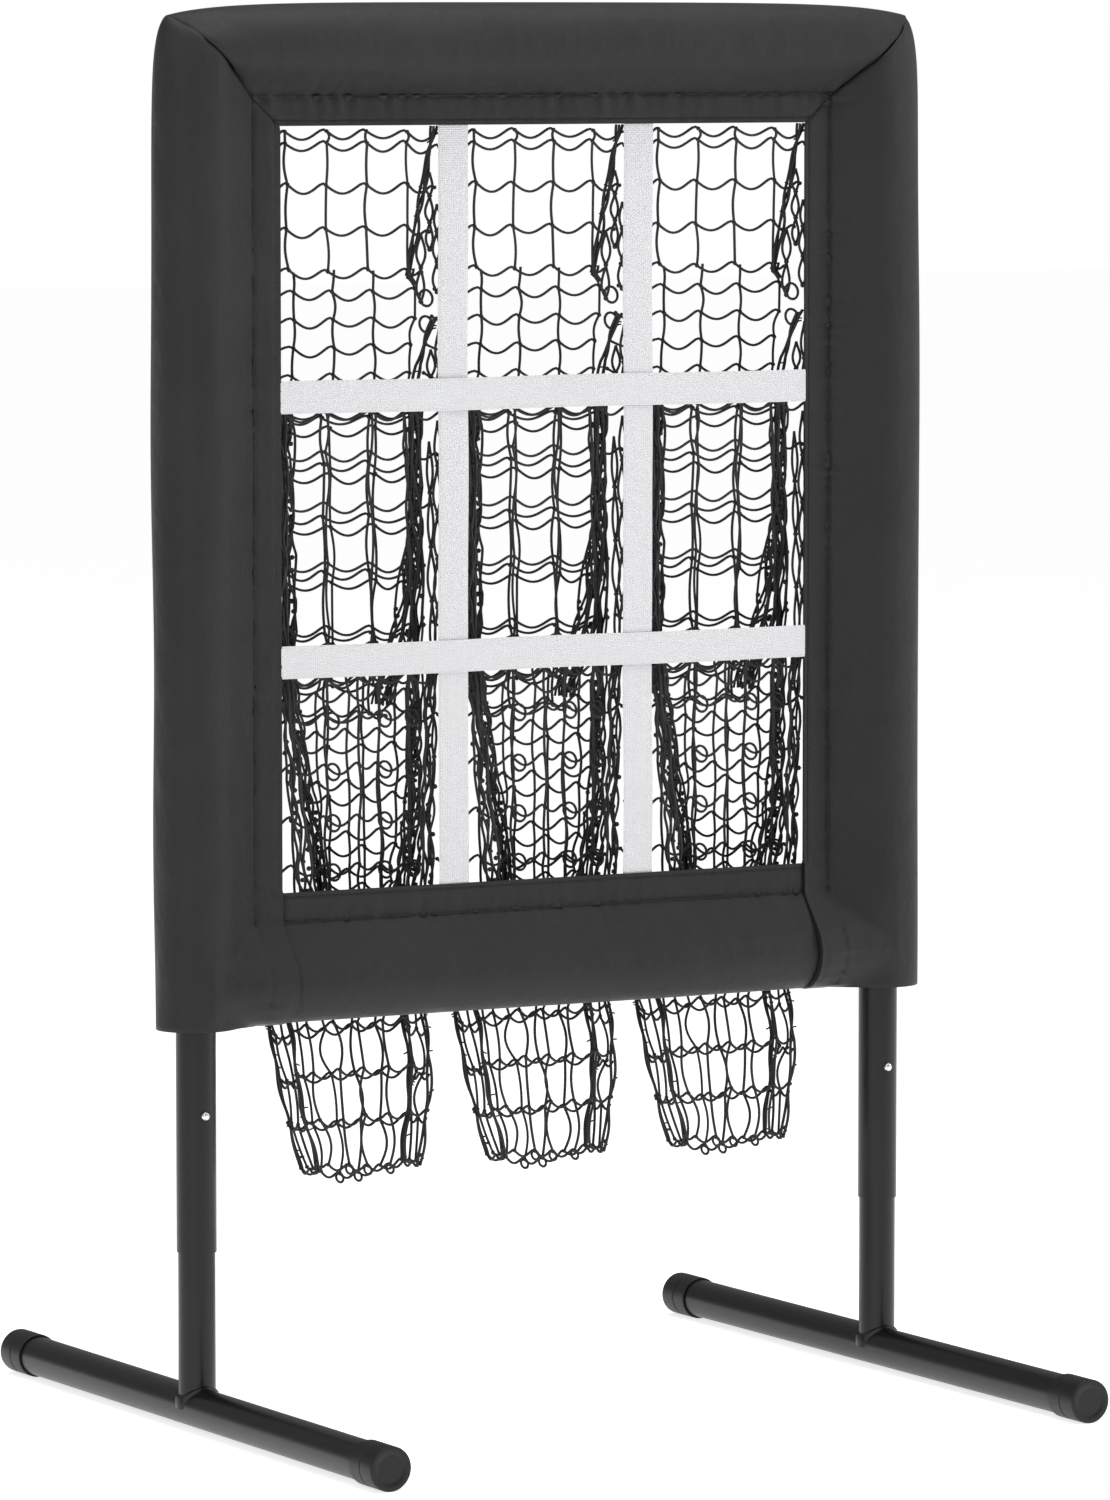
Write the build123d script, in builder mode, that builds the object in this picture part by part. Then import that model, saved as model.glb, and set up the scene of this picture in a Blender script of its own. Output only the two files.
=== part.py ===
from build123d import *
from math import acos, atan2, cos, sin
import os

# A nine-pocket pitching target net on a free-standing tube frame, in millimetres.
# Origin on the floor midway between the feet, +X to the thrower's right, the open
# cells face -Y, +Z up.

os.makedirs("parts", exist_ok=True)

# ---- driving dimensions ----
leg_spacing = 752            # between the axes of the two uprights
foot_length = 776            # over the two end caps
top_bar_z = 1305             # axis of the top bar
bottom_bar_z = 419           # axis of the bottom bar

tube_d = 38                  # feet, uprights and bars
tube_wall = 1.0
slip_gap = 0.3               # radial clearance of every tube that slides in another
post_wall = 1.5              # leg posts, elbow spigots and bar stubs
spigot_length = 55

cap_wall = 2.0
cap_fit = 0.15               # radial clearance of a cap on its foot tube
cap_end = 3.0
cap_reach = 40               # how far a cap sleeves over the tube
cap_edge = 1.5

upright_end_z = 169.4        # lower rim of the uprights
post_top_z = 380             # top of the leg post inside the upright
swage_z = 700                # where the lower and upper upright join
swage_shoulder = 6
bend_r = 45                  # centreline radius of the top corner elbows

button_z = 300
button_d = 8.6
button_hole_gap = 0.3        # radial clearance round the button
button_proud = 3.5           # how far the dome stands out of the upright
button_flange_d = 12
button_flange = 1.2
spring_strip = 0.8
spring_width = 10
spring_gap = 0.2
spring_depth_z = 52          # how far the V of the spring hangs below the button

weld_size = 3.0
screw_d = 4
screw_hole_gap = 0.1
screw_head_d = 7
screw_head = 2.2
screw_tip = 4
screw_inset = 10             # from the end of the tube that it holds

foam_gap = 0.4               # between the tube and the foam round it
sleeve_r = 38                # outside radius of the padded cover
cover_wall = 1.2
cover_foam_gap = 0.3
side_sleeve_end_z = 388      # open lower rim of the side sleeves
foam_end_inset = 6

opening_w = 575
top_reach = 78               # from the top bar's axis to the opening
bottom_reach = 85.5          # from the bottom bar's axis to the opening
hem_w = 28
hem_t = 3
hem_y = -4

strap_w = 32.3               # upright straps
cross_strap_w = 31           # level straps
strap_t = 1.8
strap_gap = 0.3
row_shares = (0.3065, 0.3311, 0.3624)  # of the open height, bottom row first

net_t = 1.2                  # a net panel's thickness
net_lap = 6                  # how far a pocket reaches behind its hem or strap
net_start_y = 0.8            # first plane of net behind the straps
net_top_depth = 2.2
nest_gap = 4                 # between a hanging bag and the pocket below it
bag_depth = 48
belly_depth = 46
belly_share = 0.42           # height of a pocket's belly in its cell
bag_drops = (280, 293, 328)  # bag bottom below its cell, bottom row first
mouth_lap = 8
bag_half_w = 77
bag_end_half_w = 57
bag_end_depth = 42
bag_end_y = 4
bag_waist = 79               # height of the lower bar above a bottom bag's waist

# ---- values that follow ----
leg_x = leg_spacing / 2
tube_r = tube_d / 2
bore_r = tube_r - tube_wall
post_r = bore_r - slip_gap
post_bore_r = post_r - post_wall
cap_r = tube_r + cap_wall
foot_axis_z = cap_r
foot_tube_end = foot_length / 2 - cap_end
bend_start_z = top_bar_z - bend_r
bend_start_x = leg_x - bend_r
bar_end_x = leg_x - tube_r - 4
opening_x = opening_w / 2
opening_top_z = top_bar_z - top_reach
opening_bottom_z = bottom_bar_z + bottom_reach
open_height = opening_top_z - opening_bottom_z - 2 * cross_strap_w
lower_strap_z = opening_bottom_z + row_shares[0] * open_height + cross_strap_w / 2
upper_strap_z = opening_top_z - row_shares[2] * open_height - cross_strap_w / 2
cross_strap_zs = (lower_strap_z, upper_strap_z)
foam_r = sleeve_r - cover_wall - cover_foam_gap
cell_w = (opening_w - 2 * strap_w) / 3
cell_pitch = cell_w + strap_w
sides = (("left", -1), ("right", 1))


def ring(outer_r, inner_r):
    """An annulus in the sketch that is being drawn."""
    Circle(outer_r)
    Circle(inner_r, mode=Mode.SUBTRACT)


def sleeve_face(radius, neck, flat, reach):
    """Teardrop of cloth round a padded tube: an arc, two tangents and a flat hem.

    X runs from the tube's axis towards the hem, Y is the depth.
    """
    top, low = hem_y + flat / 2, hem_y - flat / 2
    lean_top = atan2(top, neck) + acos(radius / (neck**2 + top**2) ** 0.5)
    lean_low = atan2(low, neck) - acos(radius / (neck**2 + low**2) ** 0.5)
    start = (radius * cos(lean_top), radius * sin(lean_top))
    end = (radius * cos(lean_low), radius * sin(lean_low))
    with BuildSketch() as outline:
        with BuildLine():
            ThreePointArc(start, (-radius, 0), end)
            if flat:
                Polyline(end, (neck, low), (reach, low), (reach, top), (neck, top), start)
            else:
                Polyline(end, (neck, low), start)
        make_face()
    return outline.sketch


def cloth(reach):
    return sleeve_face(sleeve_r, reach - hem_w, hem_t, reach)


def hollow(reach):
    return sleeve_face(sleeve_r - cover_wall, reach - hem_w - cover_wall, 0, reach)


def across(origin, towards):
    """A plane across a sleeve, its X pointing to the hem and its Y to the rear."""
    return Plane(origin, x_dir=towards, z_dir=Vector(*towards).cross(Vector(0, 1, 0)))


# ---- feet: tube, end caps, and the welded leg post ----
for side, sign in sides:
    x = sign * leg_x

    with BuildPart() as foot_tube:
        with BuildSketch(Plane.XZ.offset(-foot_tube_end)):
            with Locations((x, foot_axis_z)):
                ring(tube_r, tube_r - post_wall)
        extrude(amount=2 * foot_tube_end)
    foot_tube.part.label = f"{side}_foot_tube"
    export_step(foot_tube.part, f"parts/{side}_foot_tube.step")

    for end, facing in (("front", -1), ("rear", 1)):
        outer_face = Plane((x, facing * foot_length / 2, foot_axis_z), z_dir=(0, -facing, 0))
        with BuildPart() as cap:
            with BuildSketch(outer_face):
                Circle(cap_r)
            extrude(amount=cap_end + cap_reach)
            with BuildSketch(outer_face.offset(cap_end)):
                Circle(tube_r + cap_fit)
            extrude(amount=cap_reach, mode=Mode.SUBTRACT)
            rims = cap.edges().filter_by(GeomType.CIRCLE).sort_by(Axis.Y)
            fillet(rims[0] if facing < 0 else rims[-1], radius=cap_edge)
        cap.part.label = f"{side}_{end}_cap"
        export_step(cap.part, f"parts/{side}_{end}_cap.step")

    with BuildPart() as leg_post:
        with BuildSketch(Plane.XY.offset(foot_axis_z)):
            with Locations((x, 0)):
                ring(post_r, post_bore_r)
        extrude(amount=post_top_z - foot_axis_z)
        with BuildSketch(Plane.XZ.offset(-tube_d)):
            with Locations((x, foot_axis_z)):
                Circle(tube_r)
        extrude(amount=2 * tube_d, mode=Mode.SUBTRACT)
        with BuildSketch(Plane.XZ):
            with Locations((x, button_z)):
                Circle(button_d / 2 + button_hole_gap)
        extrude(amount=tube_d, mode=Mode.SUBTRACT)
    leg_post.part.label = f"{side}_leg_post"
    export_step(leg_post.part, f"parts/{side}_leg_post.step")

    with BuildPart() as foot_weld:
        with BuildSketch(Plane.XZ.offset(-tube_d)):
            with Locations((x, foot_axis_z)):
                Circle(tube_r + weld_size)
        extrude(amount=2 * tube_d)
        with BuildSketch(Plane.XY.offset(foot_axis_z)):
            with Locations((x, 0)):
                ring(post_r + weld_size, post_r)
        extrude(amount=2 * tube_d, mode=Mode.INTERSECT)
        with BuildSketch(Plane.XZ.offset(-tube_d)):
            with Locations((x, foot_axis_z)):
                Circle(tube_r)
        extrude(amount=2 * tube_d, mode=Mode.SUBTRACT)
    foot_weld.part.label = f"{side}_foot_weld"
    export_step(foot_weld.part, f"parts/{side}_foot_weld.step")

# ---- snap locks: a domed button on a V of strip spring inside each post ----
dome_tip_y = -(tube_r + button_proud)
flange_face_y = -((post_bore_r**2 - (button_flange_d / 2) ** 2) ** 0.5 - slip_gap)
flange_back_y = flange_face_y + button_flange
for side, sign in sides:
    x = sign * leg_x

    with BuildPart() as snap_button:
        with BuildSketch(Plane.XZ.offset(-flange_back_y)):
            with Locations((x, button_z)):
                Circle(button_flange_d / 2)
        extrude(amount=button_flange)
        with BuildSketch(Plane.XZ.offset(-flange_back_y)):
            with Locations((x, button_z)):
                Circle(button_d / 2)
        extrude(amount=flange_back_y - dome_tip_y)
        fillet(snap_button.faces().sort_by(Axis.Y)[0].edges(), radius=button_proud - 0.2)
    snap_button.part.label = f"{side}_snap_button"
    export_step(snap_button.part, f"parts/{side}_snap_button.step")

    leaf_y = flange_back_y + spring_gap + spring_strip / 2
    heel_y = (post_bore_r**2 - (spring_width / 2) ** 2) ** 0.5 - slip_gap - spring_strip / 2
    tip_z = button_z - spring_depth_z
    with BuildPart() as snap_spring:
        with BuildSketch(Plane.YZ.offset(x - spring_width / 2)):
            with BuildLine():
                FilletPolyline(
                    (leaf_y, button_z + button_flange_d / 2),
                    (leaf_y, button_z - button_flange_d / 2),
                    (0, tip_z),
                    (heel_y, button_z + button_flange_d / 2),
                    radius=3,
                )
            trace(line_width=spring_strip)
        extrude(amount=spring_width)
    snap_spring.part.label = f"{side}_snap_spring"
    export_step(snap_spring.part, f"parts/{side}_snap_spring.step")

# ---- frame: swaged uprights, corner elbows, bars on welded stubs ----
for side, sign in sides:
    x = sign * leg_x

    with BuildPart() as lower_upright:
        with BuildSketch(Plane.XY.offset(upright_end_z)):
            with Locations((x, 0)):
                ring(tube_r, bore_r)
        extrude(amount=swage_z - upright_end_z)
        with BuildSketch(Plane.XY.offset(swage_z - swage_shoulder)):
            with Locations((x, 0)):
                ring(bore_r, post_bore_r)
        extrude(amount=swage_shoulder)
        with BuildSketch(Plane.XY.offset(swage_z)):
            with Locations((x, 0)):
                ring(post_r, post_bore_r)
        extrude(amount=spigot_length)
        with BuildSketch(Plane.XZ):
            with Locations((x, button_z)):
                Circle(button_d / 2 + button_hole_gap)
        extrude(amount=tube_d, mode=Mode.SUBTRACT)
    lower_upright.part.label = f"{side}_lower_upright"
    export_step(lower_upright.part, f"parts/{side}_lower_upright.step")

    with BuildPart() as upper_upright:
        with BuildSketch(Plane.XY.offset(swage_z)):
            with Locations((x, 0)):
                ring(tube_r, bore_r)
        extrude(amount=bend_start_z - swage_z)
        with BuildSketch(Plane.XZ.offset(-tube_d)):
            with Locations((x, bend_start_z - screw_inset)):
                Circle(screw_d / 2 + screw_hole_gap)
        extrude(amount=tube_d, mode=Mode.SUBTRACT)
    upper_upright.part.label = f"{side}_upper_upright"
    export_step(upper_upright.part, f"parts/{side}_upper_upright.step")

    with BuildPart() as corner_elbow:
        with BuildSketch(Plane.XY.offset(bend_start_z)):
            with Locations((x, 0)):
                ring(tube_r, post_bore_r)
        revolve(
            axis=Axis((sign * bend_start_x, 0, bend_start_z), (0, -sign, 0)),
            revolution_arc=90,
        )
        with BuildSketch(Plane.XY.offset(bend_start_z - spigot_length)):
            with Locations((x, 0)):
                ring(post_r, post_bore_r)
        extrude(amount=spigot_length)
        with BuildSketch(Plane((sign * bend_start_x, 0, top_bar_z), z_dir=(-sign, 0, 0))):
            ring(post_r, post_bore_r)
        extrude(amount=spigot_length)
        with BuildSketch(Plane.XZ.offset(-tube_d)):
            with Locations(
                (x, bend_start_z - screw_inset),
                (sign * (bend_start_x - screw_inset), top_bar_z),
            ):
                Circle(screw_d / 2 + screw_hole_gap)
        extrude(amount=tube_d, mode=Mode.SUBTRACT)
    corner_elbow.part.label = f"{side}_corner_elbow"
    export_step(corner_elbow.part, f"parts/{side}_corner_elbow.step")

    with BuildPart() as bar_stub:
        with BuildSketch(Plane((x, 0, bottom_bar_z), z_dir=(-sign, 0, 0))):
            ring(post_r, post_bore_r)
        extrude(amount=tube_r + spigot_length)
        with BuildSketch(Plane.XY.offset(bottom_bar_z - tube_d)):
            with Locations((x, 0)):
                Circle(tube_r)
        extrude(amount=2 * tube_d, mode=Mode.SUBTRACT)
        with BuildSketch(Plane.XZ.offset(-tube_d)):
            with Locations((sign * (bar_end_x - screw_inset), bottom_bar_z)):
                Circle(screw_d / 2 + screw_hole_gap)
        extrude(amount=tube_d, mode=Mode.SUBTRACT)
    bar_stub.part.label = f"{side}_bar_stub"
    export_step(bar_stub.part, f"parts/{side}_bar_stub.step")

for name, half_length, z in (("top_bar", bend_start_x, top_bar_z), ("bottom_bar", bar_end_x, bottom_bar_z)):
    with BuildPart() as bar:
        with BuildSketch(Plane.YZ.offset(-half_length)):
            with Locations((0, z)):
                ring(tube_r, bore_r)
        extrude(amount=2 * half_length)
        with BuildSketch(Plane.XZ.offset(-tube_d)):
            with Locations(
                (half_length - screw_inset, z),
                (screw_inset - half_length, z),
            ):
                Circle(screw_d / 2 + screw_hole_gap)
        extrude(amount=tube_d, mode=Mode.SUBTRACT)
    bar.part.label = name
    export_step(bar.part, f"parts/{name}.step")

screw_points = [
    (sign * along, z)
    for _, sign in sides
    for along, z in (
        (leg_x, bend_start_z - screw_inset),
        (bend_start_x - screw_inset, top_bar_z),
        (bar_end_x - screw_inset, bottom_bar_z),
    )
]
with BuildPart() as frame_screws:
    with BuildSketch(Plane.XZ.offset(-tube_r - screw_head)):
        with Locations(*screw_points):
            Circle(screw_head_d / 2)
    extrude(amount=screw_head)
    with BuildSketch(Plane.XZ.offset(-tube_r - screw_head)):
        with Locations(*screw_points):
            Circle(screw_d / 2)
    extrude(amount=screw_head + screw_tip)
frame_screws.part.label = "frame_screws"
export_step(frame_screws.part, "parts/frame_screws.step")

# ---- foam round the tubes ----
side_foam_low_z = side_sleeve_end_z + foam_end_inset
side_foam_top_z = bend_start_z - 2 * screw_inset
for side, sign in sides:
    x = sign * leg_x
    with BuildPart() as side_foam:
        with BuildSketch(Plane.XY.offset(side_foam_low_z)):
            with Locations((x, 0)):
                ring(foam_r, tube_r + foam_gap)
        extrude(amount=side_foam_top_z - side_foam_low_z)
        with BuildSketch(Plane((x, 0, bottom_bar_z), z_dir=(-sign, 0, 0))):
            Circle(tube_r + screw_head + 2 * foam_gap)
        extrude(amount=2 * sleeve_r, mode=Mode.SUBTRACT)
    side_foam.part.label = f"{side}_foam"
    export_step(side_foam.part, f"parts/{side}_foam.step")

foam_reach_top = bend_start_x - 2 * screw_inset
foam_reach_bottom = min(leg_x - foam_r - foam_end_inset, bar_end_x - 2 * screw_inset)
for name, half_length, z in (
    ("top_foam", foam_reach_top, top_bar_z),
    ("bottom_foam", foam_reach_bottom, bottom_bar_z),
):
    with BuildPart() as bar_foam:
        with BuildSketch(Plane.YZ.offset(-half_length)):
            with Locations((0, z)):
                ring(foam_r, tube_r + foam_gap)
        extrude(amount=2 * half_length)
    bar_foam.part.label = name
    export_step(bar_foam.part, f"parts/{name}.step")

# ---- cloth cover: four sleeves, mitred at the top corners ----
side_reach = leg_x - opening_x
outer_x = leg_x + sleeve_r
outer_z = top_bar_z + sleeve_r
column_mid_z = (side_sleeve_end_z + outer_z) / 2
column_half = (outer_z - side_sleeve_end_z) / 2
mitre_planes = {
    side: Plane(
        (sign * opening_x, 0, opening_top_z),
        z_dir=(-sign * (outer_z - opening_top_z), 0, outer_x - opening_x),
    )
    for side, sign in sides
}
for side, sign in sides:
    column = across((sign * leg_x, 0, column_mid_z), (-sign, 0, 0))
    corner = across((sign * (leg_x - side_reach / 2), 0, bottom_bar_z), (0, 0, 1))
    with BuildPart() as side_sleeve:
        with BuildSketch(column):
            add(cloth(side_reach))
        extrude(amount=column_half, both=True)
        with BuildSketch(corner):
            add(cloth(bottom_reach))
        extrude(amount=side_reach / 2, both=True)
        with BuildSketch(column):
            add(hollow(side_reach))
        extrude(amount=column_half + 2 * sleeve_r, both=True, mode=Mode.SUBTRACT)
        with BuildSketch(corner):
            add(hollow(bottom_reach))
        extrude(amount=side_reach / 2, both=True, mode=Mode.SUBTRACT)
        split(bisect_by=mitre_planes[side], keep=Keep.BOTTOM)
        # two closed solids: the upright sleeve, and the thicker corner round the lower bar
        split(bisect_by=Plane.XY.offset(opening_bottom_z), keep=Keep.BOTH)
    side_sleeve.part.label = f"cover_{side}_sleeve"
    export_step(side_sleeve.part, f"parts/cover_{side}_sleeve.step")

with BuildPart() as top_sleeve:
    with BuildSketch(across((0, 0, top_bar_z), (0, 0, -1))):
        add(cloth(top_reach))
    extrude(amount=outer_x, both=True)
    with BuildSketch(across((0, 0, top_bar_z), (0, 0, -1))):
        add(hollow(top_reach))
    extrude(amount=outer_x, both=True, mode=Mode.SUBTRACT)
    for side, _ in sides:
        split(bisect_by=mitre_planes[side], keep=Keep.TOP)
top_sleeve.part.label = "cover_top_sleeve"
export_step(top_sleeve.part, "parts/cover_top_sleeve.step")

with BuildPart() as bottom_sleeve:
    with BuildSketch(across((0, 0, bottom_bar_z), (0, 0, 1))):
        add(cloth(bottom_reach))
    extrude(amount=opening_x, both=True)
    with BuildSketch(across((0, 0, bottom_bar_z), (0, 0, 1))):
        add(hollow(bottom_reach))
    extrude(amount=opening_x, both=True, mode=Mode.SUBTRACT)
bottom_sleeve.part.label = "cover_bottom_sleeve"
export_step(bottom_sleeve.part, "parts/cover_bottom_sleeve.step")

# ---- webbing: two upright straps, two level ones that cross in front ----
for side, sign in sides:
    with BuildPart() as upright_strap:
        with BuildSketch(Plane.XY.offset(opening_bottom_z)):
            with Locations((sign * cell_pitch / 2, hem_y + strap_t / 2 + strap_gap / 2)):
                Rectangle(strap_w, strap_t)
        extrude(amount=opening_top_z - opening_bottom_z)
    upright_strap.part.label = f"{side}_upright_strap"
    export_step(upright_strap.part, f"parts/{side}_upright_strap.step")

for name, z in zip(("lower", "upper"), cross_strap_zs):
    with BuildPart() as cross_strap:
        with BuildSketch(Plane.YZ.offset(-opening_x)):
            with Locations((hem_y - strap_t / 2 - strap_gap / 2, z)):
                Rectangle(strap_t, cross_strap_w)
        extrude(amount=opening_w)
    cross_strap.part.label = f"{name}_cross_strap"
    export_step(cross_strap.part, f"parts/{name}_cross_strap.step")

# ---- nine net pockets: an open cell whose net belly runs down into a hanging bag ----
# Each station of a pocket is (height, front net, rear net, half width). The front net
# starts below the cell, and each bag hangs behind the pocket of the row below it.


def rear_at(stations, z):
    """Depth of a pocket's rear net at a height."""
    for (high, _, rear_high, _), (low, _, rear_low, _) in zip(stations, stations[1:]):
        if low <= z <= high:
            return rear_low + (rear_high - rear_low) * (z - low) / (high - low)
    return stations[-1][2] if z < stations[-1][0] else stations[0][2]


def pocket_stations(cell_top, cell_bottom, drop, below):
    """The stations of one row's pockets, top first; below is the row underneath."""
    mouth_half = cell_w / 2 + mouth_lap
    floor_z = cell_bottom - drop
    belly_z = cell_bottom + belly_share * (cell_top - cell_bottom)
    found = [
        (cell_top + net_lap, net_start_y, net_start_y + net_top_depth, mouth_half),
        (belly_z, net_start_y, belly_depth, mouth_half),
    ]
    if below:
        lip = (cell_bottom - net_lap, net_start_y, belly_depth + bag_depth * 0.7, mouth_half)
        foot = rear_at(below, floor_z) + nest_gap
        found.append(lip)
        for z, _, rear, _ in below[1:3]:
            front = rear + nest_gap
            found.append((z, front, front + bag_depth, bag_half_w + mouth_lap))
        found.append((floor_z, foot, foot + bag_end_depth, bag_end_half_w + mouth_lap))
    else:
        waist_z = bottom_bar_z - bag_waist
        clear_y = sleeve_r + 3 * nest_gap
        found += [
            (cell_bottom - net_lap, net_start_y, belly_depth + bag_depth * 0.42, mouth_half),
            (bottom_bar_z, clear_y, clear_y + bag_depth, (mouth_half + bag_half_w) / 2),
            (waist_z, 4 * nest_gap, 4 * nest_gap + bag_depth + nest_gap, bag_half_w),
            (floor_z, bag_end_y, bag_end_y + bag_end_depth, bag_end_half_w),
        ]
    return found


def net_panel(high, low):
    """One flat panel of net between two level slots (x0, x1, y0, y1, z)."""
    with BuildPart() as panel:
        for x0, x1, y0, y1, z in (low, high):
            with BuildSketch(Plane.XY.offset(z)):
                with Locations(((x0 + x1) / 2, (y0 + y1) / 2)):
                    Rectangle(x1 - x0, y1 - y0)
        loft(ruled=True)
    return panel.part.solids()[0]


def net_pocket(stations, centre_x, cell_bottom):
    """The panels of one pocket: rear, sides, the bag's front, and its floor."""
    panels = []
    for upper, lower in zip(stations, stations[1:]):
        slots = {"rear": [], "left": [], "right": [], "front": []}
        for z, front, rear, half in (upper, lower):
            inner = half - net_t
            slots["rear"].append((centre_x - half, centre_x + half, rear - net_t, rear, z))
            slots["left"].append((centre_x - half, centre_x - inner, front, rear - net_t, z))
            slots["right"].append((centre_x + inner, centre_x + half, front, rear - net_t, z))
            slots["front"].append((centre_x - inner, centre_x + inner, front, front + net_t, z))
        if upper[0] > cell_bottom:
            del slots["front"]
        panels += [net_panel(*pair) for pair in slots.values()]
    z, front, rear, half = stations[-1]
    with BuildPart() as floor:
        with BuildSketch(Plane.XY.offset(z - net_t)):
            with Locations((centre_x, (front + rear) / 2)):
                Rectangle(2 * half, rear - front)
        extrude(amount=net_t)
    return panels + [floor.part.solids()[0]]


strap_rims = [z + edge * cross_strap_w / 2 for z in cross_strap_zs for edge in (-1, 1)]
cell_rims = [opening_bottom_z, *strap_rims, opening_top_z]
below = None
for row, name in enumerate(("bottom", "middle", "top")):
    cell_bottom, cell_top = cell_rims[2 * row], cell_rims[2 * row + 1]
    stations = pocket_stations(cell_top, cell_bottom, bag_drops[row], below)
    for place, column in (("left", -1), ("centre", 0), ("right", 1)):
        pocket = Compound(children=net_pocket(stations, column * cell_pitch, cell_bottom))
        pocket.label = f"pocket_{name}_{place}"
        export_step(pocket, f"parts/{pocket.label}.step")
    below = stations
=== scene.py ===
import math

import bmesh
import bpy
import numpy as np
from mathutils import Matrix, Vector


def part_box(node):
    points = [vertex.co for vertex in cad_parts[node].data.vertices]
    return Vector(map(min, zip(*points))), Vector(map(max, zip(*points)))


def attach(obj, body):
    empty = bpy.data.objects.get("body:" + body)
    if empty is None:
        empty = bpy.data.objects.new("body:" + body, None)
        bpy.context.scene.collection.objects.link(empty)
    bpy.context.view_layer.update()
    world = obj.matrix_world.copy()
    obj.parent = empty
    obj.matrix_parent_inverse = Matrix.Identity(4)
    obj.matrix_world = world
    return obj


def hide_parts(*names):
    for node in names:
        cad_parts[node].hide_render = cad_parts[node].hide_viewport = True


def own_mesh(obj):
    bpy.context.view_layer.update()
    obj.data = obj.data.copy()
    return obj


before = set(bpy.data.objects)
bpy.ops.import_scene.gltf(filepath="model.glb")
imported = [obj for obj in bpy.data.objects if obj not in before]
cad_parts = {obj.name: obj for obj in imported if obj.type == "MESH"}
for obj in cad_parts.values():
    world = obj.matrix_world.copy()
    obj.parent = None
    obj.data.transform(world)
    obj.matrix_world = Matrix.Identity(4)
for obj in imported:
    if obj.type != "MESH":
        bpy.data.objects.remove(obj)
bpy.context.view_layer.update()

# The steel: 38 mm tube for the feet, uprights and bars, and a slimmer post that slides in each upright.
# Cut tube, welded, and powder coated semi-gloss black. The coat is smooth with a very fine orange peel.


def shader(name, color, roughness, **sockets):
    """A new Principled material and its node tree, its plain values set on the shader itself."""
    material = bpy.data.materials.new(name)
    material.use_nodes = True
    surface = material.node_tree.nodes["Principled BSDF"]
    surface.inputs["Base Color"].default_value = (*color, 1)
    surface.inputs["Roughness"].default_value = roughness
    for socket, value in sockets.items():
        surface.inputs[socket.replace("_", " ")].default_value = value
    return material, material.node_tree, surface


def noise_node(tree, scale, detail=3.0, stretch=(1, 1, 1), coords="Object"):
    """A noise texture on the piece's own coordinates, stretched along an axis."""
    place = tree.nodes.new("ShaderNodeTexCoord")
    turn = tree.nodes.new("ShaderNodeMapping")
    turn.inputs["Scale"].default_value = stretch
    grain = tree.nodes.new("ShaderNodeTexNoise")
    grain.inputs["Scale"].default_value = scale
    grain.inputs["Detail"].default_value = detail
    tree.links.new(place.outputs[coords], turn.inputs["Vector"])
    tree.links.new(turn.outputs["Vector"], grain.inputs["Vector"])
    return grain


def tint(tree, surface, source, low, high):
    """The base colour goes from low to high with a texture."""
    ramp = tree.nodes.new("ShaderNodeMix")
    ramp.data_type = "RGBA"
    ramp.inputs["A"].default_value = (*low, 1)
    ramp.inputs["B"].default_value = (*high, 1)
    tree.links.new(source, ramp.inputs["Factor"])
    tree.links.new(ramp.outputs["Result"], surface.inputs["Base Color"])


def vary_roughness(tree, surface, source, low, high):
    spread = tree.nodes.new("ShaderNodeMapRange")
    spread.inputs["To Min"].default_value = low
    spread.inputs["To Max"].default_value = high
    tree.links.new(source, spread.inputs["Value"])
    tree.links.new(spread.outputs["Result"], surface.inputs["Roughness"])


def raise_surface(tree, surface, source, height, under=None):
    """Bump of a height in metres; under is a bump that lies beneath it."""
    bump = tree.nodes.new("ShaderNodeBump")
    bump.inputs["Distance"].default_value = height
    tree.links.new(source, bump.inputs["Height"])
    if under:
        tree.links.new(under.outputs["Normal"], bump.inputs["Normal"])
    tree.links.new(bump.outputs["Normal"], surface.inputs["Normal"])
    return bump


def powder_coat():
    material, tree, surface = shader("powder_coat_black", (0.006, 0.006, 0.0063), 0.28, Specular_IOR_Level=0.34)
    peel = noise_node(tree, 900)
    cloud = noise_node(tree, 14, stretch=(1, 1, 0.3))
    vary_roughness(tree, surface, cloud.outputs["Fac"], 0.24, 0.34)
    tint(tree, surface, cloud.outputs["Fac"], (0.004, 0.004, 0.005), (0.008, 0.008, 0.009))
    raise_surface(tree, surface, peel.outputs["Fac"], 0.00008)
    return material


def finish_mesh(name, mesh, material, body, smooth_angle=math.radians(35)):
    """A mesh becomes a smooth-shaded piece that rides on a body."""
    work = bmesh.new()
    work.from_mesh(mesh)
    bmesh.ops.remove_doubles(work, verts=work.verts, dist=1e-6)
    for face in work.faces:
        face.smooth = True
    for edge in work.edges:
        if len(edge.link_faces) == 2 and edge.calc_face_angle(0) > smooth_angle:
            edge.smooth = False
    work.to_mesh(mesh)
    work.free()
    mesh.materials.clear()
    mesh.materials.append(material)
    piece = bpy.data.objects.new(name, mesh)
    bpy.context.scene.collection.objects.link(piece)
    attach(piece, body)
    return piece


def finished_node(node, material, body):
    """The node's own shape, merged and shaded smooth, with its finish."""
    piece = finish_mesh(f"{node}_finished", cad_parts[node].data.copy(), material, body)
    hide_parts(node)
    return piece


coat = powder_coat()
sides = (("left", -1), ("right", 1))
for side, _ in sides:
    for node in ("foot_tube", "foot_weld", "leg_post"):
        finished_node(f"{side}_{node}", coat, f"{side}_leg")
    for node in ("lower_upright", "upper_upright", "corner_elbow", "bar_stub"):
        finished_node(f"{side}_{node}", coat, "frame")
for node in ("top_bar", "bottom_bar"):
    finished_node(node, coat, "frame")

# The end caps: moulded black plastic sleeves pushed over the foot tubes, with a shallow ring
# moulded round the middle, a soft front edge and a slightly dished end face.


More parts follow.
